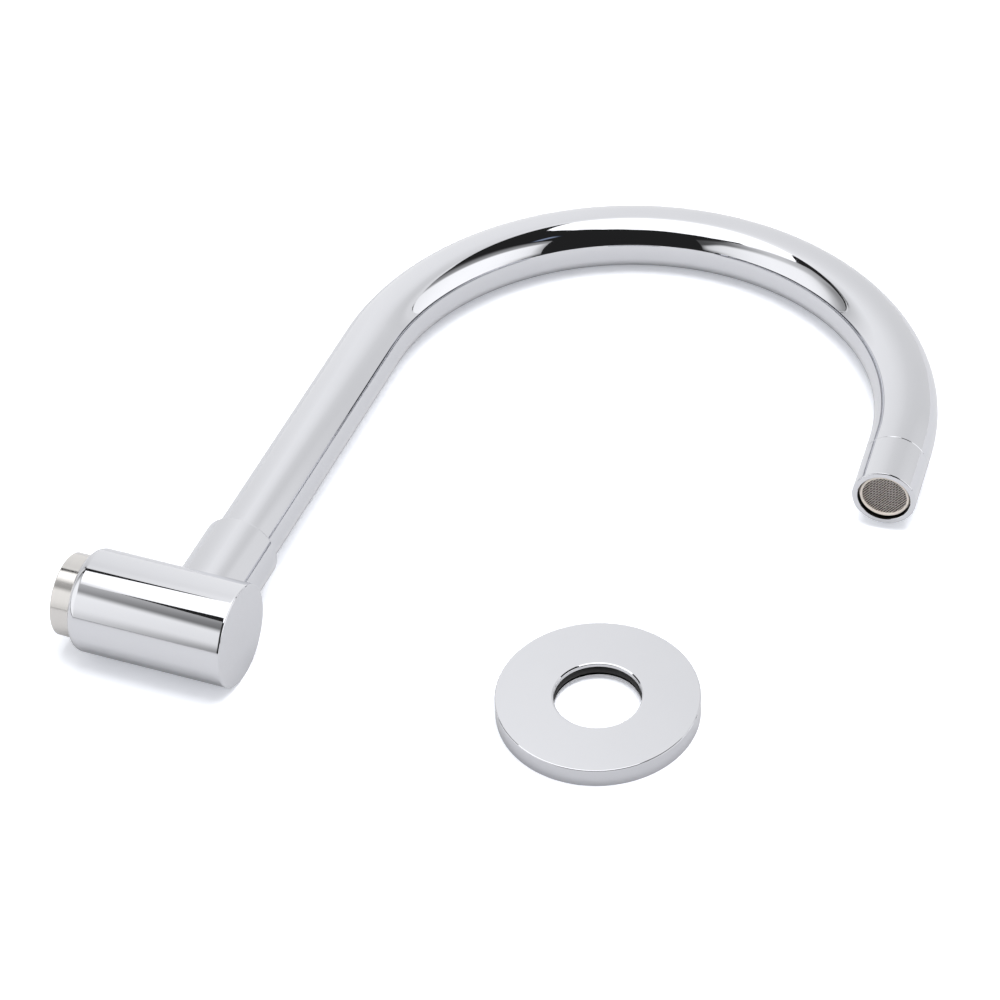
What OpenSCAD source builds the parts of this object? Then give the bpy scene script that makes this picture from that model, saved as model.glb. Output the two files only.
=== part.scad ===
// Swivelling gooseneck wall spout with its loose wall flange.
// The spout lies on its side: the hub's axis runs along X, the collar and the
// straight of the gooseneck run along Y, and the floor is at z = 0.

/* [Hub] */
// Outside diameter of the hub
hub_d = 40; // [38:0.5:46]
// From the spout axis to the hub's closed front face
hub_front = 20; // [18:0.5:28]
// From the spout axis to the hub's rear face
hub_rear = 43.5; // [40:0.5:60]
// Bevel round the closed front face
hub_front_bevel = 0.4; // [0.2:0.1:1]
// Rounding of the rear edge
hub_rear_round = 4; // [1:0.5:4]
// Diameter of the water passage
passage_d = 16; // [12:1:16]

/* [Inlet adapter] */
// Outside diameter of the neck behind the hub
neck_d = 32; // [31:0.5:34]
// Bevel round the end of the neck
neck_bevel = 0.5; // [0.2:0.1:1]
// Diameter of the spigot that screws into the hub
spigot_d = 28; // [26:0.5:28.5]
// Length of that spigot
spigot_len = 15; // [12:0.5:18]
// Bore of the female pipe thread, at its crests
inlet_d = 18.63; // [18:0.01:19]
// Depth of that thread, which the relief behind it clears
inlet_thread_depth = 1.2; // [1:0.1:1.4]
// Length of the female pipe thread
inlet_len = 14; // [10:0.5:15]
// Width of the countersink at its mouth
inlet_bevel = 1; // [0.5:0.1:1.5]
// Bore behind the relief
adapter_bore_d = 14; // [11:0.5:14]
// Thickness of the sealing washer in the relief
inlet_washer_t = 2; // [1.5:0.5:3]
// Hole in that washer
inlet_washer_bore_d = 13; // [11:0.5:14]

/* [Collar] */
// Wall of the collar round its socket
collar_wall = 2.45; // [2:0.05:3]
// From the hub axis to the collar's free end
collar_top = 45; // [42:0.5:55]
// Rounding of the free end
collar_round = 1; // [0.5:0.1:1.5]
// How deep the collar's foot sits under the hub's skin at its sides
collar_bite = 1.5; // [1:0.1:2.5]
// Thickness of the slip washer at the bottom of the socket
slip_washer_t = 1; // [0.8:0.1:1.5]

/* [Gooseneck] */
// Outside diameter of the tube
tube_d = 25; // [24:0.1:25.4]
// Wall of the tube
tube_wall = 1; // [0.8:0.1:1.2]
// From the hub axis to the start of the bend
rise = 174; // [120:1:240]
// Radius of the bend, at the tube's centre line
bend_r = 110; // [100:1:130]
// Angle of the bend
bend_a = 175; // [165:1:180]
// From the end of the bend to the outlet
drop = 32; // [30:1:60]
// Length of the tube inside the collar
tube_insert = 8; // [6:0.5:9]

/* [Spout foot] */
// Length of the spigot brazed into the tube
foot_spigot_len = 10; // [8:0.5:14]
// Wall of that spigot
foot_wall = 2.5; // [2:0.1:3]
// Cord of the two seals
seal_cord = 1.5; // [1.3:0.1:1.6]
// Distance between the two seals
seal_step = 6; // [4.5:0.5:6]
// From the tube's end down to the retaining groove
groove_drop = 8; // [7.5:0.5:8]
// Width of the retaining groove
groove_w = 3.4; // [3:0.1:3.8]
// Depth of the retaining groove
groove_depth = 1.6; // [1.3:0.1:1.8]
// Width of the split slip ring
slip_ring_w = 3; // [2:0.5:3]
// Thickness of the split slip ring
slip_ring_t = 1; // [0.8:0.1:1.2]
// Width of the slit in that ring
slip_ring_slit = 1; // [0.5:0.1:2]

/* [Retaining screw] */
// Thread diameter of the screw
screw_d = 4; // [3:0.5:4]
// Diameter of its dog point
screw_point_d = 2.5; // [1.5:0.1:2.5]
// Width across the flats of its hexagon socket
screw_socket = 2; // [1.5:0.1:2]
// Depth of that socket
screw_socket_depth = 1.4; // [1:0.1:1.6]
// How far its head lies under the collar's skin
screw_sink = 0.3; // [0.2:0.1:0.5]

/* [Nozzle] */
// Visible length of the nozzle sleeve
nozzle_len = 23; // [20:0.5:28]
// Length of the sleeve's spigot inside the tube
nozzle_spigot_len = 6; // [4:0.5:8]
// Wall of the sleeve round its mouth
nozzle_wall = 2.15; // [1.9:0.05:2.5]
// Bevel round the outlet end
nozzle_bevel = 0.4; // [0.2:0.1:0.8]
// Bevel at the seam with the tube
seam_bevel = 0.15; // [0.1:0.05:0.3]
// Width of the shoulder behind the aerator
nozzle_shoulder = 2.1; // [1.5:0.1:2.8]

/* [Aerator] */
// How far the aerator lies inside the mouth
aerator_sink = 1.3; // [0.4:0.1:1.5]
// Length of the aerator shell
aerator_len = 10; // [9.5:0.5:12]
// Space between the mouth and the shell's visible rim
rim_gap = 0.65; // [0.5:0.05:0.8]
// Length of that rim in front of the thread
rim_len = 1.8; // [1.2:0.1:2.5]
// Depth of the shell's thread
shell_thread_depth = 0.55; // [0.4:0.05:0.7]
// Length of the shell behind the thread
shell_back_len = 1.5; // [1:0.1:2]
// Wall of the rim round the seat of the meshes
rim_wall = 0.7; // [0.6:0.05:1]
// Thickness of the lip round the window that the outlet mesh shows through
window_lip = 0.8; // [0.5:0.1:1]
// How far that lip reaches over the edge of the mesh
window_lap = 0.3; // [0.25:0.05:0.8]
// Thickness of a mesh
mesh_t = 0.4; // [0.3:0.05:0.5]
// Pitch of a mesh
mesh_pitch = 1.3; // [1:0.1:2]
// Wire width of a mesh
mesh_wire = 0.4; // [0.3:0.05:0.5]
// Turn of the outlet mesh about the outlet's axis
mesh_turn = 30; // [0:5:90]
// Height of the ring between the two meshes
spacer_h = 1.2; // [0.8:0.1:1.5]
// Wall of that ring and of the sleeve behind it
spacer_wall = 0.6; // [0.4:0.1:0.8]
// Step out from the seat of the meshes to the jet disc's
jet_disc_step = 0.3; // [0.3:0.05:0.5]
// Thickness of the jet disc
jet_disc_t = 2; // [1.5:0.1:2.5]
// Diameter of a jet
jet_d = 1.1; // [0.8:0.1:1.3]
// Jets in the outer ring
jets = 20; // [12:1:24]
// Thickness of the strainer
strainer_t = 0.7; // [0.5:0.1:1]
// Slots in the strainer
strainer_slots = 12; // [8:1:16]
// Width of a slot
strainer_slot_w = 0.9; // [0.5:0.1:1]
// Thickness of the aerator's washer
aerator_washer_t = 1.5; // [1:0.1:2]

/* [Wall flange] */
// Outside diameter of the flange
flange_d = 76; // [70:1:90]
// Thickness of the flange, which is also the length of the neck that it covers
flange_t = 8; // [7.5:0.5:10]
// Bevel round its front edge
flange_bevel = 0.5; // [0.3:0.1:1]
// Bevel round its hole
flange_hole_bevel = 0.4; // [0.2:0.1:0.8]
// Cord of the ring in its hole
flange_cord = 4; // [3:0.1:4]
// Height of that ring's centre above the flange's back
flange_ring_z = 4.4; // [4.2:0.1:4.6]
// Depth of the hollow in the back
flange_hollow = 5; // [4:0.5:5.5]
// Width of the rim round that hollow
flange_rim = 3.5; // [3:0.5:7]
// Wall between the hollow and the ring's groove
flange_boss_wall = 1.8; // [1:0.1:3]
// How far the wall around the hole stops short of the back
flange_boss_up = 1.5; // [0.5:0.1:1.7]
// Width of the foam gasket in the hollow
gasket_w = 6; // [4:0.5:8]
// Where the loose flange lies, from the spout axis along X
flange_x = 151.5; // [140:0.5:160]
// Where the loose flange lies, from the hub axis along Y
flange_y = 24.8; // [20:0.1:30]

/* [Fits] */
// Running clearance of the foot in the collar
run_gap = 0.05; // [0.02:0.01:0.1]
// Space left beside a seal or an inner plastic piece
seal_gap = 0.02; // [0.01:0.01:0.05]
// Clearance of the flange's hole on the neck
flange_gap = 0.3; // [0.2:0.05:0.5]
// Clearance of the flange's ring on the neck
flange_ring_gap = 0.1; // [0.1:0.01:0.2]
// Space between the gasket and the wall
gasket_gap = 0.1; // [0.05:0.05:0.3]
// Play of the retaining screw's point in its groove
point_gap = 0.2; // [0.1:0.05:0.3]

/* [Hidden] */
$fn = 96;

// Overshoot of a cut past the face that it opens
cut = 1;
// How far each half of the bend runs past its middle, in degrees
arc_lap = 1;
// Margin between the hub's rear face and the groove of the adapter's seal
adapter_seal_step = 1;
// Solid rim round the strainer's slots
strainer_rim = 1;

hub_r = hub_d / 2;
passage_r = passage_d / 2;
neck_r = neck_d / 2;
neck_len = flange_t;
spigot_r = spigot_d / 2;
tube_r = tube_d / 2;
tube_bore_r = tube_r - tube_wall;
socket_r = tube_r + run_gap;
collar_r = socket_r + collar_wall;
foot_bore_r = tube_bore_r - foot_wall;

// Heights along the collar, from the hub axis
collar_seat = sqrt(hub_r * hub_r - collar_r * collar_r) - collar_bite;
foot_bottom = collar_seat + slip_washer_t + run_gap;
foot_top = collar_top - tube_insert;
groove_mid = foot_top - groove_drop;
seal_mid = (foot_bottom + groove_mid - groove_w / 2) / 2;
seal_1 = seal_mid - seal_step / 2;
seal_2 = seal_mid + seal_step / 2;
slip_ring_mid = foot_top - slip_ring_w / 2 - slip_ring_t;
seal_floor_r = socket_r - 2 * seal_gap - seal_cord;
groove_floor_r = tube_r - groove_depth;

// The inlet, along the hub's axis
neck_end = -hub_rear - neck_len;
inlet_r = inlet_d / 2;
inlet_relief = neck_end + inlet_len;
inlet_relief_r = inlet_r + inlet_thread_depth;
adapter_seal_x = -hub_rear + seal_cord / 2 + adapter_seal_step;
adapter_seal_floor_r = spigot_r - seal_cord - 2 * seal_gap;

// The outlet, in the plane of the gooseneck
outlet_u = bend_r * (1 - cos(bend_a)) + drop * sin(bend_a);
outlet_v = rise + bend_r * sin(bend_a) + drop * cos(bend_a);

// Radii inside the outlet, from the mouth inwards
mouth_r = tube_r - nozzle_wall;
nozzle_bore_r = mouth_r - nozzle_shoulder;
shell_thread_r = mouth_r - seal_gap;
shell_back_r = mouth_r - shell_thread_depth;
rim_r = mouth_r - rim_gap;
mesh_r = rim_r - rim_wall;
window_r = mesh_r - window_lap;
jet_disc_r = mesh_r + jet_disc_step;

// Depths inside the outlet, from its end face inwards
shell_in = aerator_sink + aerator_len;
outlet_mesh_in = aerator_sink + window_lip;
spacer_in = outlet_mesh_in + mesh_t;
inner_mesh_in = spacer_in + spacer_h;
sleeve_in = inner_mesh_in + mesh_t;
strainer_in = shell_in - strainer_t;
jet_disc_in = strainer_in - jet_disc_t;
nozzle_seat_in = shell_in + aerator_washer_t;

// The flange
flange_r = flange_d / 2;
flange_hole_r = neck_r + flange_gap;
flange_ring_r = neck_r + flange_ring_gap;
flange_groove_r = flange_ring_r + flange_cord + seal_gap;
flange_hollow_r = flange_r - flange_rim;
flange_boss_r = flange_groove_r + flange_boss_wall;

// The hub and the top of the bend both touch the floor, which tilts the whole
lie_angle = asin((hub_r - tube_r) / (rise + bend_r));
// The origin is at the middle of the whole, on the floor
right_end = outlet_u - tube_r * cos(bend_a) - nozzle_bevel * sin(bend_a);
far_end = (rise + bend_r) * cos(lie_angle) + tube_r;
mid_x = (right_end + neck_end) / 2;
mid_y = (far_end - hub_r) / 2;

// ---------------------------------------------------------------- places

// The spout's own axes: X along the hub, Y along the collar
module spout_axes() {
    translate([-mid_x, -mid_y, hub_r]) rotate([-lie_angle, 0, 0]) children();
}

// Z along the hub's axis, towards its closed front face
module along_hub() {
    spout_axes() rotate([0, 90, 0]) children();
}

// Z along the collar's axis, away from the hub
module along_collar() {
    spout_axes() rotate([-90, 0, 0]) children();
}

// Z out of the outlet, from its end face
module at_outlet() {
    spout_axes() translate([outlet_u, outlet_v, 0]) rotate([-90, 0, -bend_a]) children();
}

// Z out of the side of the collar that faces the wall, at the retaining groove
module at_screw() {
    spout_axes() translate([0, groove_mid, 0]) rotate([0, -90, 0]) children();
}

// Z up through the loose flange, from its back
module at_flange() {
    translate([flange_x - mid_x, flange_y - mid_y, 0]) children();
}

// ---------------------------------------------------------------- shapes

module ring(outer_r, inner_r, height) {
    linear_extrude(height) difference() {
        circle(outer_r);
        circle(inner_r);
    }
}

module o_ring(inner_r, cord) {
    rotate_extrude() translate([inner_r + cord / 2, 0]) circle(d = cord);
}

// What a rounding takes off a corner whose two edges run to -x and -y from the origin
module corner_off(r) {
    difference() {
        translate([-r, -r]) square(r + cut);
        translate([-r, -r]) circle(r);
    }
}

// What a bevel takes off the same corner
module bevel_off(b) {
    polygon([[-b - cut, cut], [cut, cut], [cut, -b - cut]]);
}

// A plate of square holes: every hole lies whole inside the mesh's clear width
module mesh_plate(clear_r) {
    hole = mesh_pitch - mesh_wire;
    reach = floor(clear_r / mesh_pitch);
    linear_extrude(mesh_t) difference() {
        circle(mesh_r - seal_gap);
        for (i = [-reach : reach], j = [-reach : reach]) {
            corner = norm([abs(i) * mesh_pitch + hole / 2, abs(j) * mesh_pitch + hole / 2]);
            if (corner < clear_r) translate([i, j] * mesh_pitch) square(hole, center = true);
        }
    }
}

// ---------------------------------------------------------------- hub

// A turned bar, closed in front, with the water passage drilled from the rear
module hub_body() {
    color("gainsboro") difference() {
        along_hub() rotate_extrude() difference() {
            translate([0, -hub_rear]) square([hub_r, hub_front + hub_rear]);
            translate([hub_r, hub_front]) bevel_off(hub_front_bevel);
            translate([hub_r, -hub_rear]) mirror([0, 1]) corner_off(hub_rear_round);
            translate([0, -hub_rear - cut]) square([spigot_r, spigot_len + cut]);
            translate([0, -hub_rear]) square([passage_r, hub_rear + passage_r]);
        }
        along_collar() translate([0, 0, collar_seat]) cylinder(r = collar_r, h = hub_r);
        along_collar() cylinder(r = passage_r, h = collar_seat + cut);
    }
}

// The socket of the spout, brazed into the hub
module collar() {
    color("gainsboro") difference() {
        along_collar() rotate_extrude() difference() {
            translate([socket_r, collar_seat]) square([collar_r - socket_r, collar_top - collar_seat]);
            translate([collar_r, collar_top]) corner_off(collar_round);
        }
        at_screw() cylinder(d = screw_d, h = collar_r + cut);
    }
}

// The neck and its screwed spigot, with the female pipe thread's bore and a relief behind it
module inlet_adapter() {
    color("silver") along_hub() rotate_extrude() difference() {
        union() {
            translate([0, neck_end]) square([neck_r, neck_len]);
            translate([0, -hub_rear]) square([spigot_r, spigot_len]);
        }
        translate([neck_r, neck_end]) mirror([0, 1]) bevel_off(neck_bevel);
        translate([adapter_seal_floor_r, adapter_seal_x - seal_cord / 2 - seal_gap])
            square([spigot_r, seal_cord + 2 * seal_gap]);
        translate([0, neck_end - cut]) square([inlet_r, inlet_len + cut]);
        translate([0, inlet_relief]) square([inlet_relief_r, inlet_washer_t]);
        translate([0, neck_end - cut]) square([adapter_bore_d / 2, neck_len + spigot_len + 2 * cut]);
        polygon([
            [0, neck_end - cut], [inlet_r + inlet_bevel + cut, neck_end - cut],
            [inlet_r, neck_end + inlet_bevel], [0, neck_end + inlet_bevel]
        ]);
    }
}

module adapter_o_ring() {
    color("black") along_hub() translate([0, 0, adapter_seal_x])
        o_ring(adapter_seal_floor_r + seal_gap, seal_cord);
}

module inlet_washer() {
    color("dimgray") along_hub() translate([0, 0, inlet_relief])
        ring(inlet_relief_r - seal_gap, inlet_washer_bore_d / 2, inlet_washer_t);
}

module slip_washer() {
    color("white") along_collar() translate([0, 0, collar_seat])
        ring(socket_r - seal_gap, foot_bore_r, slip_washer_t);
}

// Its dog point stands in the foot's groove and keeps the spout in the socket
module retaining_screw() {
    head_r = collar_r - screw_sink;
    body_r = socket_r + seal_gap;
    color("dimgray") at_screw() difference() {
        union() {
            translate([0, 0, body_r]) cylinder(d = screw_d, h = head_r - body_r);
            translate([0, 0, groove_floor_r + point_gap])
                cylinder(d = screw_point_d, h = body_r - groove_floor_r - point_gap);
        }
        translate([0, 0, head_r - screw_socket_depth])
            cylinder(d = screw_socket / cos(30), h = screw_socket_depth + cut, $fn = 6);
    }
}

// ---------------------------------------------------------------- spout

// A turned spigot with two seal grooves, the retaining groove and a slip ring's groove
module spout_foot() {
    color("goldenrod") along_collar() rotate_extrude() difference() {
        union() {
            translate([0, foot_bottom]) square([tube_r, foot_top - foot_bottom]);
            translate([0, foot_top]) square([tube_bore_r, foot_spigot_len]);
        }
        translate([0, foot_bottom - cut])
            square([foot_bore_r, foot_top - foot_bottom + foot_spigot_len + 2 * cut]);
        for (seal = [seal_1, seal_2])
            translate([seal_floor_r, seal - seal_cord / 2 - 2 * seal_gap])
                square([tube_r, seal_cord + 4 * seal_gap]);
        translate([groove_floor_r, groove_mid - groove_w / 2]) square([tube_r, groove_w]);
        translate([tube_r - slip_ring_t, slip_ring_mid - slip_ring_w / 2]) square([tube_r, slip_ring_w]);
    }
}

module foot_o_ring(height) {
    color("black") along_collar() translate([0, 0, height]) o_ring(seal_floor_r + seal_gap, seal_cord);
}

module slip_ring() {
    inner_r = tube_r - slip_ring_t;
    color("white") along_collar() translate([0, 0, slip_ring_mid - slip_ring_w / 2 + seal_gap])
        linear_extrude(slip_ring_w - 2 * seal_gap) difference() {
            circle(socket_r - seal_gap);
            circle(inner_r + seal_gap);
            translate([0, -slip_ring_slit / 2]) square([socket_r + cut, slip_ring_slit]);
        }
}

// The outside of the gooseneck, or its bore. The bend's two arcs run over each
// other in the middle, so that each straight meets its own arc face to face
module gooseneck_run(r, past) {
    half_a = bend_a / 2 + arc_lap;
    rotate([-90, 0, 0]) translate([0, 0, foot_top - past]) cylinder(r = r, h = rise - foot_top + past);
    translate([bend_r, rise, 0]) {
        rotate_extrude(angle = half_a, start = 180 - half_a) translate([bend_r, 0]) circle(r);
        rotate(180 - bend_a) {
            rotate_extrude(angle = half_a) translate([bend_r, 0]) circle(r);
            translate([bend_r, 0, 0]) rotate([90, 0, 0]) cylinder(r = r, h = drop - nozzle_len + past);
        }
    }
}

// One thin-walled tube from the foot to the nozzle's seam
module gooseneck_tube() {
    color("gainsboro") spout_axes() difference() {
        gooseneck_run(tube_r, 0);
        gooseneck_run(tube_bore_r, cut);
    }
}

// A turned end piece of the tube's own diameter, which holds the aerator
module nozzle_sleeve() {
    color("gainsboro") at_outlet() rotate_extrude() difference() {
        union() {
            translate([0, -nozzle_len]) square([tube_r, nozzle_len]);
            translate([0, -nozzle_len - nozzle_spigot_len]) square([tube_bore_r, nozzle_spigot_len]);
        }
        translate([tube_r, 0]) bevel_off(nozzle_bevel);
        translate([tube_r, -nozzle_len]) mirror([0, 1]) bevel_off(seam_bevel);
        translate([0, -nozzle_seat_in]) square([mouth_r, nozzle_seat_in + cut]);
        translate([0, -nozzle_len - nozzle_spigot_len - cut])
            square([nozzle_bore_r, nozzle_len + nozzle_spigot_len + cut]);
    }
}

// ---------------------------------------------------------------- aerator

// The screwed plastic shell, whose rim shows in the mouth
module aerator_shell() {
    color("antiquewhite") at_outlet() rotate_extrude() difference() {
        union() {
            translate([0, -shell_in]) square([shell_back_r, aerator_len - rim_len]);
            translate([0, -shell_in + shell_back_len])
                square([shell_thread_r, aerator_len - rim_len - shell_back_len]);
            translate([0, -aerator_sink - rim_len]) square([rim_r, rim_len]);
        }
        translate([0, -outlet_mesh_in - cut]) square([window_r, outlet_mesh_in + cut]);
        translate([0, -jet_disc_in - jet_disc_t]) square([mesh_r, jet_disc_in + jet_disc_t - outlet_mesh_in]);
        translate([0, -shell_in - cut]) square([jet_disc_r, shell_in + cut - jet_disc_in]);
    }
}

module aerator_outlet_mesh() {
    color("slategray") at_outlet() translate([0, 0, -outlet_mesh_in - mesh_t])
        rotate(mesh_turn) mesh_plate(window_r);
}

module aerator_spacer() {
    color("whitesmoke") at_outlet() translate([0, 0, -inner_mesh_in])
        ring(mesh_r - seal_gap, mesh_r - spacer_wall, spacer_h);
}

module aerator_inner_mesh() {
    color("slategray") at_outlet() translate([0, 0, -sleeve_in])
        mesh_plate(mesh_r - spacer_wall);
}

module aerator_sleeve() {
    color("whitesmoke") at_outlet() translate([0, 0, -jet_disc_in])
        ring(mesh_r - seal_gap, mesh_r - spacer_wall, jet_disc_in - sleeve_in);
}

// Two rings of fine jets, the inner one with half as many
module aerator_jet_disc() {
    outer_ring_r = jet_disc_r - 2 * jet_d;
    inner_ring_r = outer_ring_r - 2 * jet_d;
    color("white") at_outlet() translate([0, 0, -jet_disc_in - jet_disc_t])
        linear_extrude(jet_disc_t) difference() {
            circle(jet_disc_r - seal_gap);
            for (i = [0 : jets - 1]) rotate(i * 360 / jets) translate([outer_ring_r, 0]) circle(d = jet_d);
            for (i = [0 : 2 : jets - 2]) rotate(i * 360 / jets) translate([inner_ring_r, 0]) circle(d = jet_d);
        }
}

// A slotted disc that keeps grit out of the jets
module aerator_strainer() {
    slot_start = strainer_slots * strainer_slot_w / PI;
    slot_end = jet_disc_r - strainer_rim;
    color("white") at_outlet() translate([0, 0, -shell_in])
        linear_extrude(strainer_t) difference() {
            circle(jet_disc_r - seal_gap);
            for (i = [0 : strainer_slots - 1]) rotate(i * 360 / strainer_slots)
                translate([slot_start, -strainer_slot_w / 2]) square([slot_end - slot_start, strainer_slot_w]);
        }
}

module aerator_washer() {
    color("black") at_outlet() translate([0, 0, -nozzle_seat_in])
        ring(mouth_r - seal_gap, nozzle_bore_r, aerator_washer_t);
}

// ---------------------------------------------------------------- wall flange

// A turned disc with a hollow back and a ring groove in its hole
module wall_flange() {
    groove_h = flange_cord + 2 * seal_gap;
    color("gainsboro") at_flange() rotate_extrude() difference() {
        translate([flange_hole_r, 0]) square([flange_r - flange_hole_r, flange_t]);
        translate([flange_r, flange_t]) bevel_off(flange_bevel);
        translate([flange_hole_r, flange_t]) mirror([1, 0]) bevel_off(flange_hole_bevel);
        translate([flange_hole_r - cut, flange_ring_z - groove_h / 2])
            square([flange_groove_r - flange_hole_r + cut, groove_h]);
        translate([flange_boss_r, -cut]) square([flange_hollow_r - flange_boss_r, flange_hollow + cut]);
        translate([0, -cut]) square([flange_hollow_r, flange_boss_up + cut]);
    }
}

module flange_o_ring() {
    color("black") at_flange() translate([0, 0, flange_ring_z]) o_ring(flange_ring_r, flange_cord);
}

module flange_gasket() {
    color("darkgray") at_flange() translate([0, 0, gasket_gap])
        ring(flange_hollow_r, flange_hollow_r - gasket_w, flange_hollow - gasket_gap);
}

hub_body();
collar();
inlet_adapter();
adapter_o_ring();
inlet_washer();
slip_washer();
retaining_screw();
spout_foot();
foot_o_ring(seal_1);  // foot_o_ring_lower
foot_o_ring(seal_2);  // foot_o_ring_upper
slip_ring();
gooseneck_tube();
nozzle_sleeve();
aerator_shell();
aerator_outlet_mesh();
aerator_spacer();
aerator_inner_mesh();
aerator_sleeve();
aerator_jet_disc();
aerator_strainer();
aerator_washer();
wall_flange();
flange_o_ring();
flange_gasket();
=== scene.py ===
import math

import bmesh
import bpy
from mathutils import Matrix, Vector


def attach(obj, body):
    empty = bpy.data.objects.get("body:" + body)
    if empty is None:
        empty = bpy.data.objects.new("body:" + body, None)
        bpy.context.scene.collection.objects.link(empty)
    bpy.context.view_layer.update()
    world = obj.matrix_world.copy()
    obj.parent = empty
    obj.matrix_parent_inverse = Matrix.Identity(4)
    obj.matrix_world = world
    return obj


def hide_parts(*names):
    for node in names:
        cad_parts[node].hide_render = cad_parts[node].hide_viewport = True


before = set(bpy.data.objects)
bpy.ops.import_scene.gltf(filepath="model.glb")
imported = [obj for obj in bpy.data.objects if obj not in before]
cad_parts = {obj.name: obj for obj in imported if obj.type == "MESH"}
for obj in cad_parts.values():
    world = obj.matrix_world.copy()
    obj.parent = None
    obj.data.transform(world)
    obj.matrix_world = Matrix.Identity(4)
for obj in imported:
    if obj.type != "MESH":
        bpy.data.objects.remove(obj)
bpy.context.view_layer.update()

# ---------------------------------------------------------------- camera
# A long lens looks down on the spout and its flange from the right of the front.
# Its turn, tilt and roll are in degrees, and its place is in metres.

camera_place = Vector((0.398597, -0.974730, 0.961063))
camera_turn, camera_tilt, camera_roll = (math.radians(a) for a in (-23.428, -42.674, -3.328))

ahead = Vector((math.sin(camera_turn) * math.cos(camera_tilt),
                math.cos(camera_turn) * math.cos(camera_tilt), math.sin(camera_tilt)))
level_right = Vector((math.cos(camera_turn), -math.sin(camera_turn), 0))
level_up = level_right.cross(ahead)
view_right = math.cos(camera_roll) * level_right + math.sin(camera_roll) * level_up
view_up = -math.sin(camera_roll) * level_right + math.cos(camera_roll) * level_up

lens = bpy.data.cameras.new("camera")
lens.sensor_width = 36
lens.lens = 129.889
lens.clip_end = 20
camera = bpy.data.objects.new("camera", lens)
bpy.context.scene.collection.objects.link(camera)
camera.matrix_world = (Matrix.Translation(camera_place)
                       @ Matrix((view_right, view_up, -ahead)).transposed().to_4x4())
bpy.context.scene.camera = camera
bpy.context.scene.view_settings.view_transform = "Standard"

# ---------------------------------------------------------------- table
# A wide sheet of matt white paper, lit past white so that only the soft shadow
# close round each piece is left. Mirrors see it as dimmer, below plain white.


class Signal:
    """A socket of a node tree: arithmetic on it adds the Math nodes."""

    def __init__(self, socket):
        self.socket = socket

    @staticmethod
    def node(tree, kind, settings=None, inputs=None, output=0):
        """Add a node: its settings come first, then the values or links of its sockets."""
        made = tree.nodes.new(kind)
        for name, value in (settings or {}).items():
            if name == "stops":
                ramp = made.color_ramp.elements
                while len(ramp) < len(value):
                    ramp.new(0.5)
                for stop, (place, tone) in zip(ramp, value):
                    stop.position = place
                    stop.color = (tone, tone, tone, 1)
            else:
                setattr(made, name, value)
        for name, value in (inputs or {}).items():
            if isinstance(value, Signal):
                value.into(made.inputs[name])
            else:
                made.inputs[name].default_value = value
        return Signal(made.outputs[output])

    def into(self, socket):
        """Link it to a node's input."""
        self.socket.id_data.links.new(self.socket, socket)

    def math(self, operation, other=0.0, swapped=False):
        first, second = (other, self) if swapped else (self, other)
        return Signal.node(self.socket.id_data, "ShaderNodeMath", {"operation": operation},
                           {0: first, 1: second})

    def __add__(self, other):
        return self.math("ADD", other)

    __radd__ = __add__

    def __sub__(self, other):
        return self.math("SUBTRACT", other)

    def __rsub__(self, other):
        return self.math("SUBTRACT", other, True)

    def __mul__(self, other):
        return self.math("MULTIPLY", other)

    __rmul__ = __mul__

    def __truediv__(self, other):
        return self.math("DIVIDE", other)

    def clamped(self):
        return self.math("MAXIMUM", 0.0).math("MINIMUM", 1.0)


def own_place(tree):
    """A surface point's place in its own object, in metres."""
    return Signal.node(tree, "ShaderNodeTexCoord", output="Object")


def uneven(place, scale, detail):
    """A smooth random value, from 0 to 1, that changes from place to place."""
    return Signal.node(place.socket.id_data, "ShaderNodeTexNoise", {},
                       {"Vector": place, "Scale": scale, "Detail": detail})


def between(tree, share, first, second):
    """The first colour where share is 0, the second where it is 1."""
    first, second = ((*colour, 1) if isinstance(colour, tuple) else colour for colour in (first, second))
    return Signal.node(tree, "ShaderNodeMix", {"data_type": "RGBA"}, {0: share, 6: first, 7: second}, 2)


def ray_kinds(tree):
    """Whether the camera, a mirror or a clear piece is what looks at the surface."""
    return [Signal.node(tree, "ShaderNodeLightPath", output=kind)
            for kind in ("Is Camera Ray", "Is Glossy Ray", "Is Transmission Ray")]


def blank_material(name):
    """A material with no nodes, its tree, and its output's surface socket."""
    made = bpy.data.materials.new(name)
    made.use_nodes = True
    made.node_tree.nodes.clear()
    end = made.node_tree.nodes.new("ShaderNodeOutputMaterial")
    return made, made.node_tree, end.inputs["Surface"]


def sheet(name, places, faces=None):
    """A stage piece: the given faces, or a single one through all the places."""
    mesh = bpy.data.meshes.new(name)
    mesh.from_pydata(places, [], faces or [range(len(places))])
    laid = bpy.data.objects.new(name, mesh)
    bpy.context.scene.collection.objects.link(laid)
    return laid


square = ((-1, -1), (1, -1), (1, 1), (-1, 1))
table_half = 4
table = sheet("table", [(x * table_half, y * table_half, 0) for x, y in square])
table_paper, tree, surface = blank_material("table_paper")
seen, mirrored, through = ray_kinds(tree)
dimmed = between(tree, uneven(own_place(tree), 900.0, 3.0), (0.52, 0.52, 0.525), (0.54, 0.54, 0.545))
tone = between(tree, seen, dimmed, (0.95, 0.965, 1.0))
matt = Signal.node(tree, "ShaderNodeBsdfDiffuse", {}, {"Color": tone, "Roughness": 0.5})
lift = Signal.node(tree, "ShaderNodeEmission", {}, {
    "Color": (0.96, 0.98, 1.04, 1), "Strength": seen * 0.22 + (mirrored + through) * 0.1})
Signal.node(tree, "ShaderNodeAddShader", {}, {0: matt, 1: lift}).into(surface)
table.data.materials.append(table_paper)

# ---------------------------------------------------------------- light
# An even white surround at a plain level, and one big soft lamp overhead, a
# little to the right, which lays the shadows close round each piece.

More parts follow.
